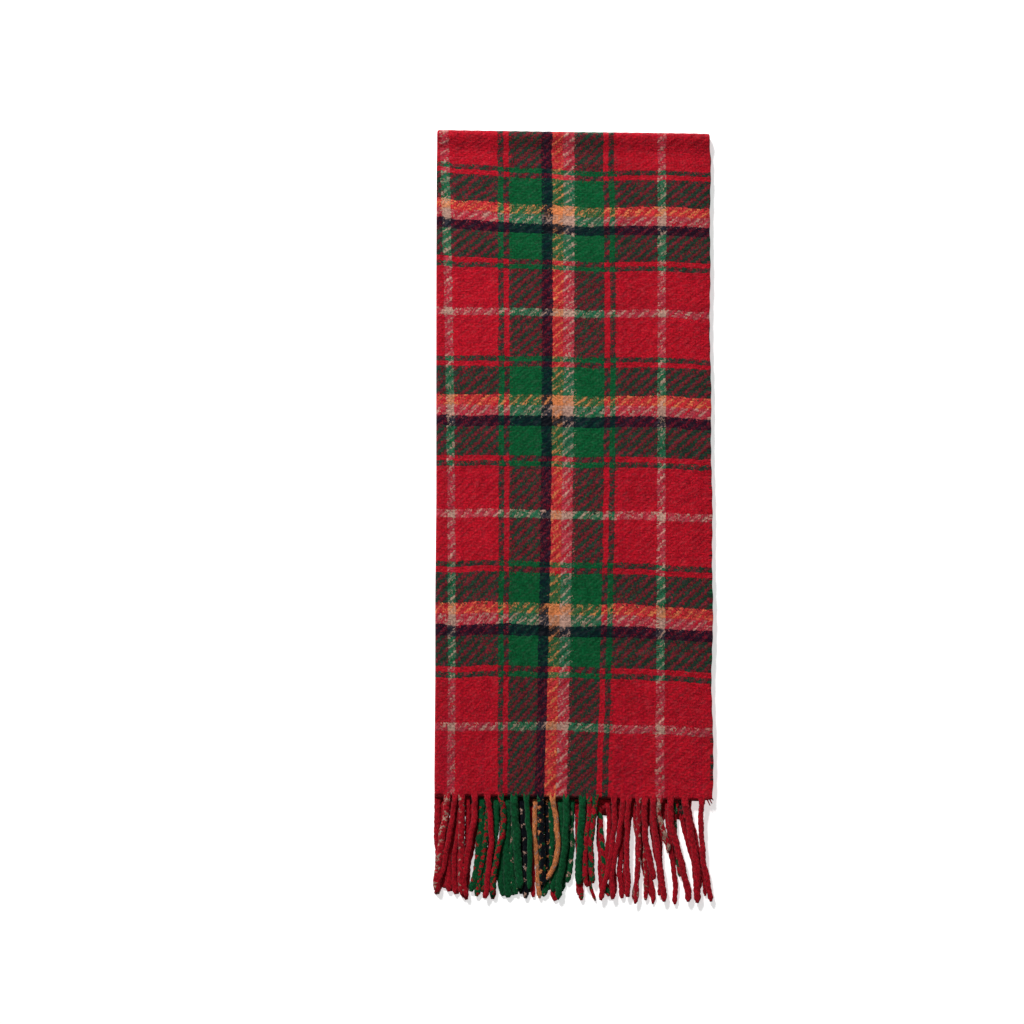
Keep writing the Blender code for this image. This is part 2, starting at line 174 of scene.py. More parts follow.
secondStrands = (
    (-167.0, -167.5, -166.5, -165.0, -460.5, 7.5, "rrrr"),
    (-155.0, -156.5, -154.5, -153.0, -463.0, 8.0, "rrrr"),
    (-142.5, -142.5, -146.5, -145.0, -466.5, 6.0, "rrrr"),
    (-130.0, -130.0, -133.0, -135.5, -466.5, 6.0, "rrrr"),
    (-112.0, -114.0, -117.5, -125.0, -463.0, 8.5, "grgg"),
    (-102.5, -107.5, -113.0, -119.0, -469.0, 7.5, "grgr"),
    (-93.5, -95.0, -97.0, -99.5, -468.0, 7.5, "gggg"),
    (-80.5, -81.5, -81.0, -79.0, -470.5, 9.5, "gggg"),
    (-73.5, -73.0, -76.0, -69.0, -466.5, 7.0, "gbgg"),
    (-63.0, -59.0, -57.0, -59.0, -471.5, 7.5, "nbnn"),
    (-45.5, -46.5, -43.5, -41.0, -471.5, 6.0, "ooob"),
    (-33.5, -32.0, -30.5, -33.0, -455.5, 7.5, "nonn"),
    (-26.0, -25.5, -27.0, -36.5, -469.0, 7.5, "gbgg"),
    (-14.0, -14.0, -19.0, -23.5, -463.0, 8.5, "gggg"),
    (-0.5, -1.0, -1.5, -6.0, -452.0, 8.0, "gbgg"),
    (19.0, 15.5, 11.5, 11.5, -474.0, 8.0, "rrrg"),
    (31.0, 36.5, 38.5, 45.0, -469.0, 8.0, "grrr"),
    (43.5, 45.5, 42.0, 41.5, -465.5, 7.5, "rrrr"),
    (56.0, 60.5, 59.5, 62.0, -471.5, 8.5, "rrrr"),
    (76.0, 79.5, 80.5, 78.5, -469.0, 6.0, "rbrr"),
    (90.0, 90.0, 91.0, 91.0, -474.0, 7.0, "rbrb"),
    (98.5, 102.0, 108.0, 107.5, -468.0, 8.0, "rrrr"),
    (117.5, 121.0, 126.0, 128.0, -479.0, 8.0, "rrrr"),
    (128.5, 127.0, 130.0, 133.5, -444.5, 7.0, "rrgb"),
    (144.0, 151.5, 158.0, 155.5, -463.0, 7.5, "rrrr"),
)
thirdStrands = (
    (-162.0, -161.5, -159.5, -159.0, -459.0, 7.5, "rrrr"),
    (-148.5, -148.5, -150.0, -149.0, -463.0, 7.5, "rrrr"),
    (-136.0, -138.5, -141.5, -142.0, -466.5, 7.5, "rrrr"),
    (-125.5, -126.5, -130.5, -130.0, -464.0, 7.5, "rrrr"),
    (-116.0, -113.5, -115.0, -120.5, -459.0, 7.5, "grgr"),
    (-107.0, -109.5, -108.0, -113.0, -464.0, 7.5, "grgr"),
    (-98.5, -98.5, -102.0, -103.0, -463.0, 7.5, "gggg"),
    (-86.0, -86.0, -88.5, -85.5, -469.0, 8.0, "gggg"),
    (-76.0, -76.5, -72.5, -73.0, -468.0, 7.5, "gggg"),
    (-66.0, -63.5, -63.5, -63.5, -466.5, 7.0, "nnng"),
    (-51.5, -49.0, -49.0, -49.0, -470.5, 6.0, "rrrr"),
    (-39.0, -41.5, -39.0, -37.5, -465.5, 7.5, "nnnn"),
    (-29.0, -30.5, -31.0, -29.0, -461.5, 7.5, "gngg"),
    (-18.0, -19.0, -23.0, -20.5, -475.0, 8.0, "rrrr"),
    (-8.0, -6.0, -8.0, -13.0, -463.0, 8.0, "gggg"),
    (6.0, 7.0, 7.5, 8.0, -468.0, 7.5, "rrrg"),
    (23.0, 23.0, 21.5, 28.0, -475.0, 5.5, "rrrg"),
    (34.0, 33.0, 34.5, 36.0, -463.0, 7.5, "rrrr"),
    (49.0, 49.5, 51.5, 53.0, -466.5, 7.5, "rrrr"),
    (63.5, 65.0, 65.0, 65.5, -466.5, 7.5, "rrrr"),
    (85.5, 86.5, 90.0, 98.5, -470.5, 7.5, "rrrr"),
    (96.0, 91.0, 97.0, 100.0, -479.0, 7.5, "rrrr"),
    (112.0, 109.0, 110.0, 110.5, -466.5, 7.0, "rrrr"),
    (136.0, 144.0, 152.0, 152.5, -470.5, 7.5, "rrrr"),
    (144.0, 154.0, 161.0, 166.0, -469.0, 7.5, "rrrr"),
)


bottomRow = {
    "seed": 11,
    "stray": 1.5,  # how far each X may move
    "longer": 8.0,  # how much longer a strand may be
    "end": -474.0,  # Y that none of them passes
    "width": 7.5,
}


# The lowest strands lie under the highest ones, each straying a little.
def bottomStrands():
    chance = random.Random(bottomRow["seed"])
    stray = bottomRow["stray"]
    rows = []
    for *spots, end, _, code in topStrands[:-1]:
        moved = [x + chance.uniform(-stray, stray) for x in spots]
        end = max(end - chance.uniform(0.0, bottomRow["longer"]), bottomRow["end"])
        rows.append((*moved, end, bottomRow["width"], code))
    return rows


strands = {
    "top": topStrands,
    "second": secondStrands,
    "third": thirdStrands,
    "bottom": bottomStrands(),
}


def between(low, high, share):
    return low + (high - low) * share


def smooth(low, high, value):
    share = np.clip((value - low) / (high - low), 0.0, 1.0)
    return share * share * (3.0 - 2.0 * share)


def hump(distance, width):
    return np.exp(-((distance / width) ** 2))


# X of the long fold and of the selvedges. lower is 1 for the layers under the top one.
def edgesAt(along, lower=0.0):
    rows = [row[0] for row in reversed(edges)]
    left, right = [
        np.interp(along, rows, [row[k] for row in reversed(edges)]) for k in (1, 2)
    ]
    return left, right - lower * tuck * (1.0 - smooth(tuckSpan[1], tuckSpan[0], along))


def acrossShare(across):
    return (across - foldSpan[0]) / (foldSpan[1] - foldSpan[0])


def foldAt(across):
    return between(foldEnds[0], foldEnds[1], acrossShare(across))


def hemAt(layer, across):
    return between(hems[layer][0], hems[layer][1], acrossShare(across))


# How strongly the cloth is drawn into the strands at this X.
def gather(layer, across, width):
    return sum(hump(across - strand[0], width) for strand in strands[layer])


# How far the top of the stack stands above its plain height.
def relief(across, along):
    inside = foldAt(across) - along
    left, right = edgesAt(along)
    height = edgeSwell[0] * hump(across - left, edgeSwell[1])
    height -= edgeDroop[0] * hump(right - across, edgeDroop[1])
    for high, start, width in foldRelief:
        height = height + high * hump(inside - start, width)
    calm = smooth(*calmSpan, along)
    for high, waveX, waveY, phase in waves:
        turn = math.tau * (across / waveX + along / waveY) + phase
        height = height + high * np.sin(turn) * calm
    for x, y, degrees, length, width, high in creases:
        c, s = math.cos(math.radians(degrees)), math.sin(math.radians(degrees))
        run = (across - x) * c + (along - y) * s
        side = (along - y) * c - (across - x) * s
        side = side + creaseStray[0] * np.sin(run / creaseStray[1] + x)
        size = high * (1.0 + creaseSwell[0] * np.sin(run / creaseSwell[1] + y))
        height = height + size * hump(run, length) * hump(side, width)
    return height


# Points in metres, with the relief and the droop of the fringe put in.
def place(across, along, up):
    share = np.clip(up / settled, 0.0, 1.0)
    up = up + relief(across, along) * share
    up = up * (1.0 - droop * smooth(*droopSpan, along))
    return np.stack(np.broadcast_arrays(across, along, up), axis=-1) / metre


# The number of the warp end at a spot of the upper layer.
def warpAt(across, along):
    a, b, c = warpRows
    first = (along - b) * (along - c) / ((a - b) * (a - c))
    second = (along - a) * (along - c) / ((b - a) * (b - c))
    third = (along - a) * (along - b) / ((c - a) * (c - b))
    spots = [(n, x * first + y * second + z * third) for n, x, y, z in warpPlaces]
    number = None
    for low, high in zip(spots, spots[1:]):
        value = between(low[0], high[0], (across - low[1]) / (high[1] - low[1]))
        number = value if number is None else np.where(across >= low[1], value, number)
    return np.minimum(number, lastWarp)


# The number of the weft at a spot of the upper layer.
def weftAt(across, along):
    columns = np.interp(across, sagColumns, range(len(sagColumns)))
    rows = np.interp(along, sagRows, range(len(sagRows)))
    table = np.array(sags)
    c = np.minimum(columns.astype(int), len(sagColumns) - 2)
    r = np.minimum(rows.astype(int), len(sagRows) - 2)
    upper = between(table[r, c], table[r, c + 1], columns - c)
    lower = between(table[r + 1, c], table[r + 1, c + 1], columns - c)
    down = weftStart - along - between(upper, lower, rows - r)
    root = np.sqrt(weftPitch**2 + 4 * weftSpread * down)
    return (root - weftPitch) / (2 * weftSpread)


# An sRGB hex colour as a linear one.
def linear(code):
    parts = [int(code[k : k + 2], 16) / 255 for k in (0, 2, 4)]
    return tuple(
        p / 12.92 if p <= 0.04045 else ((p + 0.055) / 1.055) ** 2.4 for p in parts
    )


# Adds a node with its settings and what goes into it, and gives one output.
def addNode(tree, kind, links=(), out=0, **settings):
    node = tree.nodes.new("ShaderNode" + kind)
    for name, value in settings.items():
        setattr(node, name, value)
    for name, value in dict(links).items():
        if isinstance(value, bpy.types.NodeSocket):
            tree.links.new(value, node.inputs[name])
        else:
            node.inputs[name].default_value = value
    return node.outputs[out]


# The wool. Colours are those of the dyed yarns.

dyes = {
    "red": "AE1021",
    "green": "05522B",
    "orange": "D8824E",
    "beige": "B48E7E",
    "navy": "050B13",
}
# the sett, as yarn and number of threads, from the middle of a pale stripe
warpSett = (
    ("beige", 1.5), ("red", 16), ("green", 2), ("red", 2), ("green", 12), ("navy", 4),
    ("orange", 4), ("beige", 4), ("green", 11), ("red", 2), ("green", 2), ("red", 15),
    ("beige", 1.5),
)  # fmt: skip
weftSett = (
    ("beige", 1.5), ("red", 16), ("green", 2), ("red", 2), ("green", 11), ("orange", 4),
    ("beige", 4), ("navy", 4), ("green", 11), ("red", 2), ("green", 2), ("red", 16),
    ("beige", 1.5),
)  # fmt: skip
settThreads = 77
middleWeft = -75.0  # the weft at the cross fold
settWefts = 230.5  # how many follow the sett, to each side of it
redWeft = 6.0  # a red one of the sett; those beyond are dyed like it
uvThreads = 100.0  # threads to one unit of the weave's UV map
fringeDyes = ("red", "green", "orange", "beige", "navy")
letters = {"r": 0, "g": 1, "o": 2, "b": 3, "n": 4}


# A constant ramp of dyes along rows of dye and width.
def stripes(tree, position, rows, total):
    out = addNode(tree, "ValToRGB", {0: position})
    ramp = out.node.color_ramp
    ramp.interpolation = "CONSTANT"
    start = 0.0
    for index, (dye, width) in enumerate(rows):
        stop = ramp.elements[0] if index == 0 else ramp.elements.new(start / total)
        if index == 1:  # the far stop that a new ramp has goes
            ramp.elements.remove(ramp.elements[-1])
        stop.color = (*linear(dyes[dye]), 1.0)
        start += width
    return out


# Matt wool. Its short nap catches light at the rims, mostly in the yarn's own colour.
def woolShader(tree, colour, normal):
    shader = tree.nodes["Principled BSDF"]
    pale = (0.9, 0.95, 1.0, 1.0)
    nap = addNode(tree, "Mix", {0: 0.2, 6: colour, 7: pale}, 2, data_type="RGBA")
    tree.links.new(colour, shader.inputs["Base Color"])
    tree.links.new(nap, shader.inputs["Sheen Tint"])
    tree.links.new(normal, shader.inputs["Normal"])
    shader.inputs["Roughness"].default_value = 0.95
    shader.inputs["IOR"].default_value = 1.54
    shader.inputs["Specular IOR Level"].default_value = 0.03
    shader.inputs["Sheen Weight"].default_value = 0.4
    shader.inputs["Sheen Roughness"].default_value = 0.5


# Streaks of fibre that all lie one way, of this width and length.
def streaks(tree, vector, degrees, width, length):
    turn = (0, 0, math.radians(degrees))
    turned = addNode(
        tree,
        "Mapping",
        {0: vector, "Rotation": turn, "Scale": (width, length, 1)},
        vector_type="TEXTURE",
    )
    return addNode(tree, "TexNoise", {"Vector": turned, "Scale": 1.0, "Detail": 2.0})


# The single fibres on top, from 0 in the gaps to 1, out of streaks in three directions.
def loftedFibre(tree, ways):
    top = ways[0]
    for way in ways[1:]:
        top = addNode(tree, "Math", {0: top, 1: way}, operation="MAXIMUM")
    return addNode(tree, "MapRange", {0: top, 1: 0.48, 2: 0.74})


# widths and lengths in threads, scales per thread, angles in degrees
twillLook = {
    "wander": ((0.13, 1.1), (0.55, 0.8), (1.5, 0.9)),  # noise scale, and how far
    "fibre": (0.42, 1.7),  # width and length of the streaks of single fibre
    "fibreAngles": (20.0, 75.0, -40.0),
    "brushed": (45.0, 1.5, 7.0),  # angle, width and length
    "wisps": (50.0, 0.8, 3.4),
    "lint": (65.0, 0.9, 3.0),
    "lintColour": (0.016, 0.015, 0.016),
    "stray": (2.8, 1.39),  # how far fibres leave their stripe, and about half of it
    "lots": (0.88, 1.1),  # least and most dye that a thread took up
    "through": (-3.5, 2.5),  # how single fibres and brushed streaks show the lower thread
    "felted": (0.54, (0.0, 0.001, 0.007)),  # gamma and tint of the mixed dyes
    "fibreHeight": 1.6,  # as a share of a float's height
    "brushedHeight": 2.4,
    "blotches": 0.07,
    "bump": 0.0004,  # metres
}


# Brushed wool twill, two over and two under. Felted fibre softens each float and
# mixes the dyes, and brushing leaves streaks along the twill line.
def twillMaterial():
    made = bpy.data.materials.new("brushed wool twill")
    made.use_nodes = True
    tree = made.node_tree
    uv = addNode(tree, "UVMap", uv_map="weave")
    plain = addNode(tree, "VectorMath", {0: uv, "Scale": uvThreads}, operation="SCALE")
    # the threads wander, and their edges are soft with fibre
    spot = plain
    half = (0.5,) * 3
    for scale, amount in twillLook["wander"]:
        noise = {"Vector": plain, "Scale": scale, "Detail": 2.0}
        wander = addNode(tree, "TexNoise", noise, "Color")
        shift = addNode(tree, "VectorMath", {0: wander, 1: half}, operation="SUBTRACT")
        shift = {0: shift, 1: (amount,) * 3, 2: spot}
        spot = addNode(tree, "VectorMath", shift, operation="MULTIPLY_ADD")
    centred = addNode(tree, "VectorMath", {0: spot, 1: half}, operation="ADD")
    thread = addNode(tree, "VectorMath", {0: centred}, operation="FLOOR")
    within = addNode(tree, "VectorMath", {0: centred}, operation="FRACTION")
    numbers = addNode(tree, "SeparateXYZ", {0: thread}).node.outputs
    parts = addNode(tree, "SeparateXYZ", {0: within}).node.outputs
    # which of the four steps of the twill this crossing is; in two the warp is up
    both = addNode(tree, "Math", {0: numbers[0], 1: numbers[1]}, operation="ADD")
    phase = addNode(tree, "Math", {0: both, 1: 4.0}, operation="FLOORED_MODULO")
    warpUp = addNode(tree, "Math", {0: phase, 1: 1.5}, operation="LESS_THAN")

    # the last wefts before each hem are all red
    far = addNode(tree, "Math", {0: numbers[1], 1: -middleWeft}, operation="ADD")
    far = addNode(tree, "Math", {0: far}, operation="ABSOLUTE")
    atEnd = addNode(tree, "Math", {0: far, 1: settWefts}, operation="GREATER_THAN")
    weft = addNode(tree, "Mix", {0: atEnd, 2: numbers[1], 3: redWeft})
    # streaks of single fibre, and broader ones where the cloth is brushed
    size, angles = twillLook["fibre"], twillLook["fibreAngles"]
    ways = [streaks(tree, plain, angle, *size) for angle in angles]
    brushed = streaks(tree, plain, *twillLook["brushed"])
    fibre = loftedFibre(tree, ways)
    stray, halfStray = twillLook["stray"]
    leastDye, mostDye = twillLook["lots"]
    colours, depths = [], []
    for number, sett, loose in (
        (numbers[0], warpSett, ways[1]),
        (weft, weftSett, ways[2]),
    ):
        # fibres of the next thread stray in, so stripes have soft edges
        position = addNode(
            tree, "Math", {0: loose, 1: stray, 2: number}, operation="MULTIPLY_ADD"
        )
        for amount, step in (
            (halfStray, "SUBTRACT"),
            (settThreads, "FLOORED_MODULO"),
            (settThreads, "DIVIDE"),
        ):
            position = addNode(tree, "Math", {0: position, 1: amount}, operation=step)
        dye = stripes(tree, position, sett, settThreads)
        depths.append(addNode(tree, "VectorMath", {0: dye}, 1, operation="LENGTH"))
        lot = addNode(tree, "TexWhiteNoise", {"W": number}, noise_dimensions="1D")
        lot = addNode(tree, "MapRange", {0: lot, 3: leastDye, 4: mostDye})
        dye = addNode(tree, "VectorMath", {0: dye, "Scale": lot}, operation="SCALE")
        colours.append(dye)
    warpColour, weftColour = colours

    # single fibres of the thread below come through, mostly along the twill line
    share = warpUp
    for noise, amount in zip((ways[0], brushed), twillLook["through"]):
        share = addNode(
            tree, "Math", {0: noise, 1: amount, 2: share}, operation="MULTIPLY_ADD"
        )
    share = addNode(tree, "MapRange", {0: share, 1: -0.12, 2: 0.28})
    upper = addNode(
        tree, "Mix", {0: share, 6: weftColour, 7: warpColour}, 2, data_type="RGBA"
    )
    # felted fibres of both threads mix, darker than either
    threads = {0: warpColour, 1: weftColour}
    product = addNode(tree, "VectorMath", threads, operation="MULTIPLY")
    gamma, tint = twillLook["felted"]
    felted = addNode(tree, "Gamma", {0: product, 1: gamma})
    felted = addNode(tree, "VectorMath", {0: felted, 1: tint}, operation="ADD")
    fuzz = {"Vector": plain, "Scale": 1.1, "Detail": 4.0, "Roughness": 0.65}
    fuzz = addNode(tree, "TexNoise", fuzz)
    felting = addNode(tree, "MapRange", {0: fuzz, 1: 0.32, 2: 0.68, 3: 0.4, 4: 1.0})
    # the darkest dye covers the others but for some fibres
    darkest, palest = [
        addNode(tree, "Math", {0: depths[0], 1: depths[1]}, operation=which)
        for which in ("MINIMUM", "MAXIMUM")
    ]
    covered = addNode(tree, "MapRange", {0: fibre, 1: 0.2, 2: 0.6, 3: 0.97, 4: 0.66})
    dark = {0: darkest, 1: 0.02, 2: 0.05, 3: covered, 4: 0.0}
    dark = addNode(tree, "MapRange", dark)
    felting = addNode(tree, "Math", {0: felting, 1: dark}, operation="MAXIMUM")
    # and a pale dye shows only as scattered wisps on top
    wisps = streaks(tree, plain, *twillLook["wisps"])
    clear = addNode(tree, "MapRange", {0: wisps, 1: 0.47, 2: 0.59, 3: 0.92, 4: 0.2})
    felting = {0: palest, 1: 0.45, 2: 0.55, 3: felting, 4: clear}
    felting = addNode(tree, "MapRange", felting)
    # where both threads have one dye, nothing mixes
    gap = addNode(tree, "VectorMath", threads, 1, operation="DISTANCE")
    mixed = addNode(tree, "MapRange", {0: gap, 1: 0.03, 2: 0.07, 3: 0.0, 4: felting})
    colour = addNode(tree, "Mix", {0: mixed, 6: upper, 7: felted}, 2, data_type="RGBA")

    # each float is a low arch, round across; its height also sets painted shade and
    # highlight
    across = addNode(tree, "Mix", {0: warpUp, 2: parts[1], 3: parts[0]})
    run = addNode(tree, "Mix", {0: warpUp, 2: parts[0], 3: parts[1]})
    odd = addNode(tree, "Math", {0: phase, 1: 2.0}, operation="MODULO")
    run = addNode(tree, "Math", {0: run, 1: odd}, operation="ADD")
    turns = []
    for value, factor in ((across, math.pi), (run, math.pi / 2)):
        turned = addNode(tree, "Math", {0: value, 1: factor}, operation="MULTIPLY")
        turns.append(addNode(tree, "Math", {0: turned}, operation="SINE"))
    arch = addNode(tree, "Math", {0: turns[0], 1: turns[1]}, operation="MULTIPLY")
    # brushed streaks lie along the twill line, fibres in all directions on top of them
    height = arch
    for part, high in (
        (fibre, twillLook["fibreHeight"]),
        (brushed, twillLook["brushedHeight"]),
    ):
        height = addNode(
            tree, "Math", {0: part, 1: high, 2: height}, operation="MULTIPLY_ADD"
        )
    # painted shade and highlight: darker where the weave lies low, lighter where floats and
    # fibres stand up
    shade = addNode(tree, "MapRange", {0: height, 1: 1.0, 2: 3.7, 3: 0.5, 4: 1.48})
    blotch = {"Vector": plain, "Scale": twillLook["blotches"], "Detail": 3.0}
    blotch = addNode(tree, "TexNoise", blotch)
    blotch = addNode(tree, "MapRange", {0: blotch, 1: 0.3, 2: 0.7, 3: 0.93, 4: 1.06})
    shade = addNode(tree, "Math", {0: shade, 1: blotch}, operation="MULTIPLY")
    colour = addNode(tree, "VectorMath", {0: colour, "Scale": shade}, operation="SCALE")
    # stray pale fibres lie on every dye
    lint = streaks(tree, plain, *twillLook["lint"])
    lint = addNode(tree, "MapRange", {0: lint, 1: 0.48, 2: 0.75})
    lint = {0: lint, 1: twillLook["lintColour"], 2: colour}
    colour = addNode(tree, "VectorMath", lint, operation="MULTIPLY_ADD")
    bump = {"Height": height, "Strength": 0.8, "Distance": twillLook["bump"]}
    woolShader(tree, colour, addNode(tree, "Bump", bump))
    return made


# widths and lengths in metres, scales per metre, angles in degrees
yarnLook = {
    "yarns": 5.0,  # dyed yarns round a ply
    "wander": ((95.0, 5.0), (520.0, 2.2)),  # noise scale, and how far in yarns
    "flecks": (330.0, -0.2, 2.4),  # noise scale, least and most yarns of the other dye
    "crease": 0.7,  # depth of the creases between the yarns, in the bump and in their painted shade
    "fibre": (0.0012, 0.0048),  # width and length of the streaks of fibre
    "fibreAngles": (12.0, 50.0, -35.0),
    "fibreHeight": 1.5,
    "fibreColour": (0.005, 0.004, 0.005),
    "patches": 60.0,
    "bump": 0.0004,
}


# Twisted woollen yarn. Each ply shows five yarns, of which some may have another
# dye; painted shade darkens the creases between them and painted highlight lights their
# crowns, and fibre breaks up the colour.
def yarnMaterial():
    made = bpy.data.materials.new("twisted wool yarn")
    made.use_nodes = True
    tree = made.node_tree
    spot = addNode(tree, "TexCoord", out="Object")
    ply = addNode(tree, "UVMap", uv_map="ply")
    turn = addNode(tree, "SeparateXYZ", {0: ply})
    count = yarnLook["yarns"]
    turn = addNode(tree, "Math", {0: turn, 1: count}, operation="MULTIPLY")
    # the yarns wander round the ply, and loose fibre breaks their edges
    for scale, amount in yarnLook["wander"]:
        stray = addNode(
            tree, "TexNoise", {"Vector": spot, "Scale": scale, "Detail": 3.0}
        )
        turn = addNode(
            tree, "Math", {0: stray, 1: amount, 2: turn}, operation="MULTIPLY_ADD"
        )
    within = addNode(tree, "Math", {0: turn}, operation="FRACT")
    number = addNode(tree, "Math", {0: turn, 1: count}, operation="FLOORED_MODULO")
    # the other dye comes and goes, so that its flecks differ
    scale, fewest, most = yarnLook["flecks"]
    reach = addNode(tree, "TexNoise", {"Vector": spot, "Scale": scale, "Detail": 3.0})
    reach = addNode(tree, "MapRange", {0: reach, 1: 0.35, 2: 0.65, 3: fewest, 4: most})
    other = addNode(tree, "Math", {0: number, 1: reach}, operation="LESS_THAN")
    pair = addNode(tree, "UVMap", uv_map="dye")
    pair = addNode(tree, "SeparateXYZ", {0: pair}).node.outputs
    rows = [(dye, 1) for dye in fringeDyes]
    main, second = [stripes(tree, pair[k], rows, len(rows)) for k in (0, 1)]
    dye = addNode(tree, "Mix", {0: other, 6: main, 7: second}, 2, data_type="RGBA")
    arch = addNode(tree, "Math", {0: within, 1: math.pi}, operation="MULTIPLY")
    arch = addNode(tree, "Math", {0: arch}, operation="SINE")
    depth = yarnLook["crease"]
    arch = addNode(tree, "Math", {0: arch, 1: depth}, operation="MULTIPLY")
    size, angles = yarnLook["fibre"], yarnLook["fibreAngles"]
    fibre = loftedFibre(tree, [streaks(tree, spot, angle, *size) for angle in angles])
    height = {0: fibre, 1: yarnLook["fibreHeight"], 2: arch}
    height = addNode(tree, "Math", height, operation="MULTIPLY_ADD")
    # painted shade and highlight: each yarn lighter on its crown, darker in the creases,
    # lofted fibre lighter still
    shade = addNode(tree, "MapRange", {0: height, 1: 0.2, 2: 2.4, 3: 0.35, 4: 1.65})
    patch = {"Vector": spot, "Scale": yarnLook["patches"], "Detail": 2.0}
    patch = addNode(tree, "TexNoise", patch)
    tone = addNode(tree, "MapRange", {0: patch, 1: 0.3, 2: 0.7, 3: 0.88, 4: 1.08})
    shade = addNode(tree, "Math", {0: shade, 1: tone}, operation="MULTIPLY")
    colour = addNode(tree, "VectorMath", {0: dye, "Scale": shade}, operation="SCALE")
    glint = {0: fibre, 1: yarnLook["fibreColour"], 2: colour}
    colour = addNode(tree, "VectorMath", glint, operation="MULTIPLY_ADD")
    bump = {"Height": height, "Strength": 0.8, "Distance": yarnLook["bump"]}
    woolShader(tree, colour, addNode(tree, "Bump", bump))
    return made


twill = twillMaterial()
yarn = yarnMaterial()
print("materials made", flush=True)


# A mesh piece from points in metres. Each UV map has a pair for each corner of each face.
def addPiece(name, points, faces, maps, material):
    mesh = bpy.data.meshes.new(name)
    mesh.from_pydata(np.asarray(points).tolist(), [], faces)
    for mapName, uvs in maps.items():
        layer = mesh.uv_layers.new(name=mapName)
        layer.data.foreach_set("uv", np.asarray(uvs, dtype=np.float32).ravel())
    mesh.materials.append(material)
    mesh.shade_smooth()
    piece = bpy.data.objects.new(name, mesh)
    bpy.context.scene.collection.objects.link(piece)
    return piece


# The cloth: one sheet, folded twice.

cloth = {
    "columns": 128,  # on the face that shows
    "coarse": 24,  # on the hidden faces
    "rows": 330,  # from the hem to the cross fold
    "arc": 14,  # round the cross fold
    "underRows": 80,
    "fold": 10,  # round the long fold
    "wale": 0.16,  # height of the twill's diagonal ridges
    "hemRound": 2.4,  # length over which the hem thins out
    "hemThin": 0.3,  # share of its thickness that it loses
    "hemDip": 4.0,  # how far the strands draw the hem out
    "dipWidth": 2.6,
    "ridge": 1.6,  # height of the ridges that lead into the strands
    "ridgeWidth": 2.9,
    "ridgeBase": 0.3,  # share of that height that lies below the plain cloth
    "ridgeLength": 15.0,
    # height, length and phase of the waves along the selvedge
    "selvedgeWaves": ((0.35, 4.1, 0.0), (0.5, 23.0, 1.0)),
    "inset": 0.9,  # how far inside the selvedge the faces end
    # the rounded selvedges: how far inside, and height in the layer
    "lowerRound": ((1.2, 0.4), (0.9, wall / 2), (1.5, wall - 0.4)),
    "upperRound": ((0.6, 0.5), (0.0, wall / 2), (0.35, wall - 0.5)),
    "foldInside": 0.05,  # gap left inside the long fold
    "rounds": 3,  # to find where a column meets the hem
}
hairpin = wall + seam / 2
outer = layers["top"] + wall - middle
inner = layers["top"] - middle


# Columns: side it is measured from, distance or share, height over the axis, share
# of the under layer, and 1 where the ridges show.
def clothSection():
    count = cloth["columns"]
    rows = [("share", 1.0 - k / count, outer, 0, 1) for k in range(count)]
    turn = (outer + pairGap / 2) / 2
    for step in range(cloth["fold"] + 1):
        share = step / cloth["fold"]
        reach = hairpin * (1.0 - math.sin(math.pi * share))
        height = turn + hairpin * math.cos(math.pi * share)
        rows.append(("left", reach, height, share, 1 - share))
    shares = [k / cloth["coarse"] for k in range(1, cloth["coarse"])]
    low = pairGap / 2
    high = low + wall
    rows += [("share", share, low, 1, 0) for share in shares]
    rows += [("right", reach, low + up, 1, 0) for reach, up in cloth["lowerRound"]]
    rows += [("share", share, high, 1, 0) for share in reversed(shares)]
    rows.append(("left", hairpin - cloth["foldInside"], (high + inner) / 2, 0.5, 0))
    rows += [("share", share, inner, 0, 0) for share in shares]
    rows += [("right", reach, inner + up, 0, 0) for reach, up in cloth["upperRound"]]
    return rows


# X of a column of the sheet. The selvedge is a little wavy.
def clothAcross(side, value, along, lower):
    left, right = edgesAt(along, lower)
    for size, length, phase in cloth["selvedgeWaves"]:
        right = right + size * np.sin(along / length + phase)
    if side == "left":
        return left + value
    if side == "right":
        return right - value
    return between(left + hairpin, right - cloth["inset"], value)


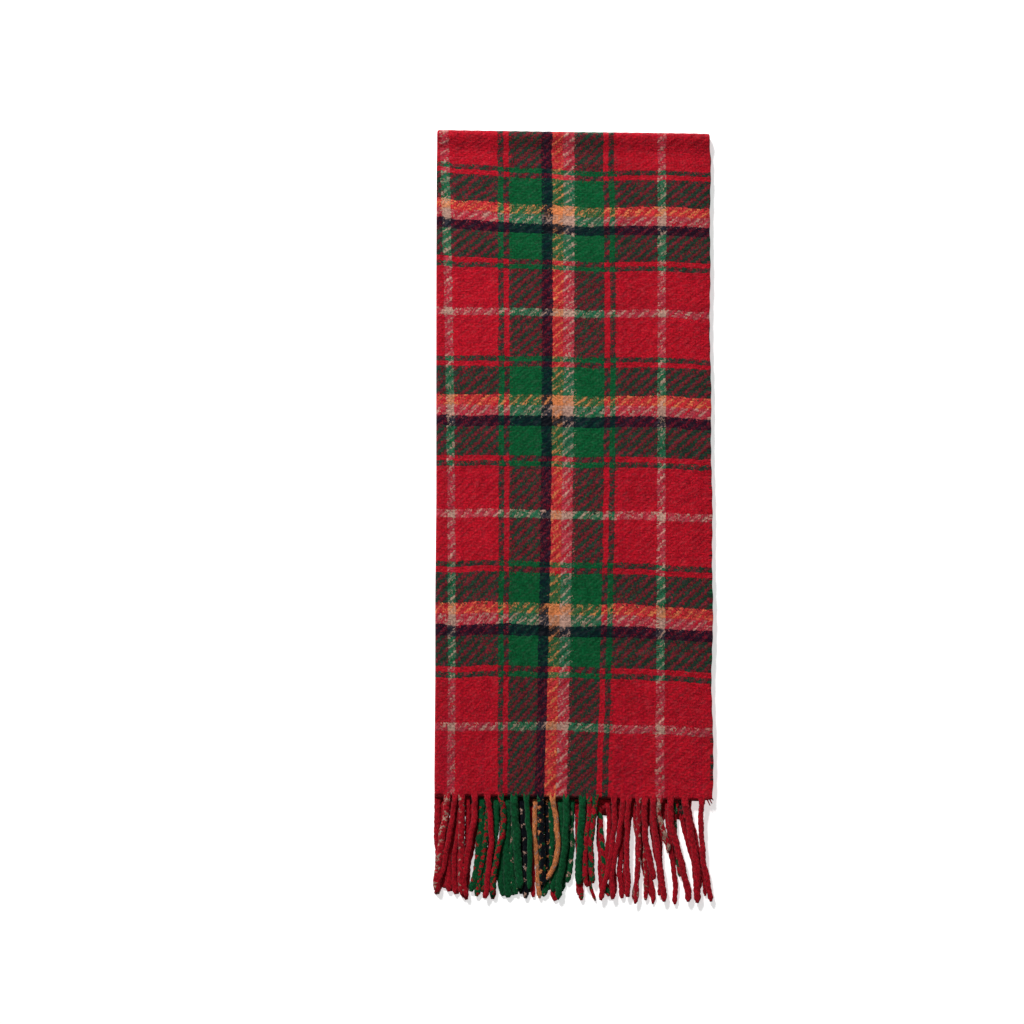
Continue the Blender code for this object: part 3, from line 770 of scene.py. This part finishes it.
# One column of the sheet: over the top, round the cross fold and back below.
def clothColumn(side, value, over, lower, ridged):
    parts = (
        ("over", np.linspace(0.0, 1.0, cloth["rows"] + 1)),
        ("arc", np.linspace(0.0, math.pi, cloth["arc"] + 1)[1:-1]),
        ("under", np.linspace(0.0, 1.0, cloth["underRows"] + 1)),
    )
    layerAbove = "second" if lower > 0.5 else "top"
    core = layers[layerAbove] + wall / 2 - middle
    tucked = 1.0 if lower == 1 else 0.0
    spots, marks = [], []
    for part, amount in parts:
        upper, under = ("top", "second") if part == "over" else ("bottom", "third")
        if part == "under":
            tucked = 1.0
        across = clothAcross(side, value, np.zeros_like(amount), tucked)
        # the hem's place depends on X and X on the hem's place, so they go in rounds
        for _ in range(cloth["rounds"]):
            turn = foldAt(across)
            drawn = between(
                gather(upper, across, cloth["dipWidth"]),
                gather(under, across, cloth["dipWidth"]),
                lower,
            )
            hem = between(hemAt(upper, across), hemAt(under, across), lower)
            hem = hem - cloth["hemDip"] * np.minimum(drawn, 1.0)
            if part == "arc":
                along = turn
            else:
                share = amount if part == "over" else 1.0 - amount
                along = between(hem, turn, share)
            across = clothAcross(side, value, along, tucked)
        left = edgesAt(along)[0] + hairpin
        warp = warpAt(np.maximum(across, left), along)
        folded = warpAt(left, along)
        bend = hairpin * math.pi / threadPitch
        if side == "left":
            warp = folded - bend * lower
        elif lower:
            warp = 2 * folded - bend - warp
        weft = weftAt(across, along)
        if part != "over":
            bent = outer * (amount if part == "arc" else math.pi) / threadPitch
            weft = 2 * weftAt(across, turn) - bent - weft
        ridge = cloth["wale"] * np.cos(math.tau * (warp + weft - 0.5) / 4)
        height = over + ridge * ridged * (part != "under")
        if part == "over":
            near = 1.0 - smooth(0.0, cloth["ridgeLength"], along - hem)
            ridge = gather("top", across, cloth["ridgeWidth"]) - cloth["ridgeBase"]
            height = height + cloth["ridge"] * ridge * near * ridged
        if part != "arc":
            pressed = 1.0 - smooth(0.0, press["length"], along - hem)
            depth = (over - pairGap / 2) / wall
            if part == "over":
                sink = -press["second"] - press["more"] * depth
            else:
                sink = press["third"] * (1.0 - depth)
            height = height + sink * pressed * (lower == 1)
            middleNow = core + sink * pressed * (lower == 1)
            thin = 1.0 - cloth["hemThin"] * hump(hem - along, cloth["hemRound"])
            height = middleNow + (height - middleNow) * thin
        lift = {"over": 1.0, "under": -1.0}.get(part, np.cos(amount))
        reach = np.sin(amount) if part == "arc" else 0.0
        spots.append(place(across, along + height * reach, middle + height * lift))
        marks.append(np.stack([warp, weft], axis=-1) / uvThreads)
    return np.concatenate(spots), np.concatenate(marks)


def buildCloth():
    columns = [clothColumn(*row) for row in clothSection()]
    points = np.stack([column[0] for column in columns], axis=1)
    marks = np.stack([column[1] for column in columns], axis=1)
    rows, count = points.shape[:2]
    number = np.arange(rows * count).reshape(rows, count)
    after = np.roll(number, -1, axis=1)
    quads = np.stack([number[:-1], number[1:], after[1:], after[:-1]], axis=-1)
    ends = [number[0], number[-1, ::-1]]
    faces = quads.reshape(-1, 4).tolist() + [end.tolist() for end in ends]
    corners = np.concatenate([quads.ravel(), *ends])
    uvs = marks.reshape(-1, 2)[corners]
    return addPiece("scarf_cloth", points.reshape(-1, 3), faces, {"weave": uvs}, twill)


scarf = buildCloth()
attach(scarf, "root")
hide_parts("top_layer", "folded_under")
print("cloth:", len(scarf.data.polygons), "faces", flush=True)

# The fringes: two plies to a strand, each with three low ridges round it.

fringe = {
    "twist": 17.0,  # length of one full turn of the two plies
    "uneven": (0.85, 1.15),  # least and most of that length in one strand
    "ply": 0.43,  # radius of a ply, as a share of the strand's width
    "ridges": (3, 0.05),  # how many there are, and height as a share of that radius
    "root": (2.0, 0.9, 2.2),  # half width, half height and offset of a ply in the hem
    "gather": 5.0,  # length over which the warp ends come together
    "inside": 8.0,  # how far inside the hem a strand starts
    "close": 1.1,  # share of the table's width for the lower strands on the left
    "closeSpan": (30.0, -40.0),  # X between which they get closer
    "sinkLength": 14.0,
    "sway": ((31.0, 0.4), (57.0, 0.5)),  # lengths and sizes of its bends
    "swaySpan": (15.0, 40.0),
    "lumps": ((5.3, 0.04), (2.3, 0.02)),  # and of its thick and thin places
    "taper": 5.0,
    "tip": 0.5,  # share of its width that the tip loses
    "lowest": 0.05,  # height over the surface
    "bare": 8,  # first steps, without loose fibres
    "uvLength": 10.0,  # length to one unit of the ply's UV map
}
# flattening, share of the table's width, height at the hem, how far the strand
# sinks beyond it, steps, sides and loose fibres
fringeLayers = {
    "top": (0.84, 0.90, 13.1, 1.6, 100, 12, 240),
    "second": (0.66, 0.86, 6.8, 0.5, 84, 12, 150),
    "third": (0.48, 0.8, 4.4, 0.6, 60, 9, 40),
    "bottom": (0.40, 0.8, 1.7, 0.0, 60, 9, 40),
}


# Points, faces and their two UV maps, gathered for one piece.
class Shape:
    def __init__(self):
        self.points, self.faces, self.ply, self.dye = [], [], [], []
        self.count = 0

    def add(self, points, faces, ply, dye):
        self.points.append(points)
        self.faces += [[self.count + k for k in face] for face in faces]
        self.ply.append(ply)
        self.dye.append(np.tile(dye, (len(ply), 1)))
        self.count += len(points)

    def piece(self, name):
        maps = {"ply": np.concatenate(self.ply), "dye": np.concatenate(self.dye)}
        return addPiece(name, np.concatenate(self.points), self.faces, maps, yarn)


# Where two yarns lie on the ramp of dyes.
def dyePair(code):
    return np.array([(letters[letter] + 0.5) / len(fringeDyes) for letter in code])


# A closed tube through rings of points. spin turns the yarns round it, in turns.
def addTube(shape, rings, spin, run, dye):
    rows, sides = rings.shape[:2]
    number = np.arange(rows * sides).reshape(rows, sides)
    after = np.roll(number, -1, axis=1)
    quads = np.stack([number[:-1], after[:-1], after[1:], number[1:]], axis=-1)
    faces = quads.reshape(-1, 4).tolist()
    faces += [number[0, ::-1].tolist(), number[-1].tolist()]
    side = np.arange(sides)[None, :, None] + np.array([0, 1, 1, 0])
    row = np.arange(rows - 1)[:, None, None] + np.array([0, 0, 1, 1])
    side, row = np.broadcast_arrays(side, row)
    run = run / fringe["uvLength"]
    ply = np.stack([side / sides - spin[row], run[row]], axis=-1).reshape(-1, 2)
    ends = [np.tile([-spin[k], run[k]], (sides, 1)) for k in (0, -1)]
    shape.add(rings.reshape(-1, 3), faces, np.concatenate([ply, *ends]), dye)


# A smooth curve through four values, at shares 0, 1/3, 2/3 and 1.
def throughFour(values, share):
    stops = (0.0, 1 / 3, 2 / 3, 1.0)
    total = 0.0
    for index, value in enumerate(values):
        term = value
        for other, stop in enumerate(stops):
            if other != index:
                term = term * (share - stop) / (stops[index] - stop)
        total = total + term
    return total


# One strand: two plies leave the hem side by side and twist together.
def addStrand(shape, layer, strand, chance):
    *spots, end, width, code = strand
    flat, slim, level, sink, steps, sides, hairs = fringeLayers[layer]
    hem = float(hemAt(layer, spots[0])) - cloth["hemDip"]
    start = hem + fringe["inside"]
    length = start - end
    run = np.linspace(0.0, length, steps + 1)
    along = start - run
    beyond = run - fringe["inside"]
    across = throughFour(spots, np.maximum(beyond, 0.0) / (hem - end))
    fade = smooth(*fringe["swaySpan"], run)
    for wave, size in fringe["sway"]:
        across = across + size * fade * np.sin(math.tau * run / wave + chance.uniform(0, 6))
    lean = np.gradient(across, along)
    sideX, sideY = 1.0 / np.hypot(1.0, lean), -lean / np.hypot(1.0, lean)
    gathered = smooth(-fringe["inside"], fringe["gather"], beyond)
    ending = 1.0 - fringe["tip"] * smooth(length - fringe["taper"], length, run)
    lumps = 1.0
    for wave, size in fringe["lumps"]:
        lumps = lumps + size * np.sin(run / wave + chance.uniform(0, 6))
    if layer != "top":
        slim = between(slim, fringe["close"], smooth(*fringe["closeSpan"], spots[0]))
    thick = width * slim * lumps * ending
    radius = fringe["ply"] * thick
    rootWide, rootHigh, rootOffset = fringe["root"]
    wide = between(rootWide, radius, gathered)
    high = between(rootHigh, radius * flat, gathered)
    offset = between(rootOffset, thick / 2 - radius, gathered)
    ridges, ridge = fringe["ridges"]
    turnLength = fringe["twist"] * chance.uniform(*fringe["uneven"])
    angle = -math.tau * np.maximum(beyond, 0.0) / turnLength
    height = np.maximum(level - sink * smooth(0.0, fringe["sinkLength"], beyond), 0.0)
    for ply in (0, 1):
        phase = angle + math.pi * ply
        spin = chance.uniform(0, 1) - angle / math.tau
        turns = math.tau * np.arange(sides)[None, :] / sides
        swell = 1.0 + ridge * np.cos(ridges * (turns - math.tau * spin[:, None]))
        sideways = offset * np.cos(phase)
        sideways = sideways[:, None] + wide[:, None] * swell * np.cos(turns)
        lift = height + offset * flat * gathered * np.sin(phase)
        lift = lift[:, None] + high[:, None] * swell * np.sin(turns)
        rings = place(
            across[:, None] + sideX[:, None] * sideways,
            along[:, None] + sideY[:, None] * sideways,
            np.maximum(lift, fringe["lowest"]),
        )
        dye = dyePair(code[2 * ply : 2 * ply + 2])
        addTube(shape, rings, spin, run, dye)
        for _ in range(hairs // 2):
            row, side = chance.randrange(fringe["bare"], steps), chance.randrange(sides)
            mark = (side / sides - spin[row], run[row] / fringe["uvLength"])
            addHair(shape, rings[row, side], rings[row].mean(axis=0), mark, dye, chance)


hair = {
    "lean": 0.8,  # how far it may lean from straight out, as a share of its length
    "down": -0.2,  # and how far down
    "length": (0.9, 2.6),
    "thick": (0.10, 0.19),
    "root": 0.3,  # how deep in the yarn it starts
    "lowest": 0.5,  # height over the surface
}


# A loose fibre: a thin closed spike that stands off the yarn.
def addHair(shape, foot, heart, mark, dye, chance):
    out = (foot - heart) / max(float(np.linalg.norm(foot - heart)), 1e-9)
    lean = hair["lean"]
    way = Vector(out) + Vector([chance.uniform(-lean, lean) for _ in range(3)])
    way.z = max(way.z, hair["down"])
    way.normalize()
    side = way.cross(Vector((0.0, 0.0, 1.0))).normalized()
    other = way.cross(side)
    length = chance.uniform(*hair["length"]) / metre
    thick = chance.uniform(*hair["thick"]) / metre
    base = Vector(foot) - way * (hair["root"] / metre)
    base.z = max(base.z, hair["lowest"] / metre)
    points = [
        base + thick * (side * math.cos(t) + other * math.sin(t))
        for t in (0.0, math.tau / 3, 2 * math.tau / 3)
    ]
    tip = base + way * length
    tip.z = max(tip.z, 0.0)  # it lies on the surface, not below it
    points.append(tip)
    faces = [(0, 2, 1), (0, 1, 3), (1, 2, 3), (2, 0, 3)]
    shape.add(np.array(points), faces, np.tile(mark, (12, 1)), dye)


weftEnds = {
    # X and Y of the root, and how far it runs along X and Y
    "rows": (
        (167.0, -341.5, 8.0, -7.5),
        (165.5, -344.0, 8.0, -9.0),
        (163.5, -345.0, 7.5, -10.5),
        (160.0, -346.0, 4.5, -7.0),
    ),
    "steps": 9,
    "sides": 6,
    "radius": 1.0,
    "tip": 0.5,  # how much of that the tip loses
    "slant": 0.7,  # how far its rings turn towards its run
    "height": 12.6,
    "sink": 1.5,
    "wave": (0.5, 5.0),  # size, and how fast it turns
    "bow": 0.4,  # how much of its run along Y comes late
    "length": 10.0,
}


# A few weft ends have come loose at the corner of the selvedge.
def addWeftEnds(shape):
    share = np.linspace(0.0, 1.0, weftEnds["steps"])[:, None]
    turn = math.tau * np.arange(weftEnds["sides"])[None, :] / weftEnds["sides"]
    size = weftEnds["radius"] - weftEnds["tip"] * share
    wave, pace = weftEnds["wave"]
    bow, slant = weftEnds["bow"], weftEnds["slant"]
    spin, run = np.zeros(weftEnds["steps"]), weftEnds["length"] * share[:, 0]
    for x, y, reachX, reachY in weftEnds["rows"]:
        rings = place(
            x + reachX * share + size * np.cos(turn) + wave * np.sin(pace * share),
            y + reachY * share * (1.0 - bow + bow * share) + size * slant * np.cos(turn),
            weftEnds["height"] - weftEnds["sink"] * share + size * np.sin(turn),
        )
        addTube(shape, rings, spin, run, dyePair("rr"))


def buildFringe(layer, seed):
    chance = random.Random(seed)
    shape = Shape()
    for strand in strands[layer]:
        addStrand(shape, layer, strand, chance)
    if layer == "top":
        addWeftEnds(shape)
    name = "fringe_" + layer
    piece = shape.piece("yarn_" + name)
    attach(piece, "root")
    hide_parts(name)
    print(name, len(piece.data.polygons), "faces", flush=True)
    return piece


fringes = [buildFringe(layer, seed) for seed, layer in enumerate(strands, 1)]

# Floor, light and camera, in metres.

studio = {
    "floor": 4.0,  # half its length
    "floorGap": 0.0003,  # the scarf lies just above it
    "lampWatts": 12.6,
    "lampSize": 0.6,
    "lampSpread": 50.0,  # degrees
    "lampFrom": (-1.15, 2.6, 2.3),
    "lampTo": (-0.05, 0.03, 0.0),
    "pixels": 1024,  # across the view
    "pixel": 0.001236,  # what one of them covers
    "middle": (-0.0748, 0.0080),  # X and Y of the view's middle
    "distance": 2.2,  # of the camera from the top of the scarf
    "topHeight": 0.0138,
    "sensor": 36.0,  # millimetres
}

half = studio["floor"]
floorMesh = bpy.data.meshes.new("floor")
floorMesh.from_pydata(
    [(-half, -half, 0), (half, -half, 0), (half, half, 0), (-half, half, 0)],
    [],
    [(0, 1, 2, 3)],
)
floor = bpy.data.objects.new("floor", floorMesh)
bpy.context.scene.collection.objects.link(floor)
floor.location.z = -studio["floorGap"]
# pale matt paper on a light table, whose soft glow thins the shadows
paper = bpy.data.materials.new("pale matt paper")
paper.use_nodes = True
paperShader = paper.node_tree.nodes["Principled BSDF"]
paperShader.inputs["Base Color"].default_value = (*linear("F8F8F8"), 1.0)
paperShader.inputs["Roughness"].default_value = 0.9
paperShader.inputs["Specular IOR Level"].default_value = 0.1
paperShader.inputs["Emission Color"].default_value = (1.0, 1.0, 1.0, 1.0)
paperShader.inputs["Emission Strength"].default_value = 0.55
floorMesh.materials.append(paper)

world = bpy.data.worlds.new("studio")
bpy.context.scene.world = world
world.use_nodes = True
sky = world.node_tree.nodes["Background"]
sky.inputs["Color"].default_value = (1.0, 1.0, 1.0, 1.0)
sky.inputs["Strength"].default_value = 0.17

lamp = bpy.data.lights.new("softbox", "AREA")
lamp.energy = studio["lampWatts"]
lamp.shape = "DISK"
lamp.size = studio["lampSize"]
lamp.spread = math.radians(studio["lampSpread"])
holder = bpy.data.objects.new("softbox", lamp)
bpy.context.scene.collection.objects.link(holder)
holder.location = studio["lampFrom"]
way = Vector(studio["lampTo"]) - Vector(studio["lampFrom"])
holder.rotation_euler = way.to_track_quat("-Z", "Y").to_euler()

camera = bpy.data.cameras.new("camera")
camera.sensor_width = studio["sensor"]
viewWidth = studio["pixels"] * studio["pixel"]
camera.lens = studio["sensor"] * studio["distance"] / viewWidth
viewer = bpy.data.objects.new("camera", camera)
bpy.context.scene.collection.objects.link(viewer)
viewer.location = (*studio["middle"], studio["distance"] + studio["topHeight"])
bpy.context.scene.camera = viewer
bpy.context.scene.view_settings.view_transform = "Standard"
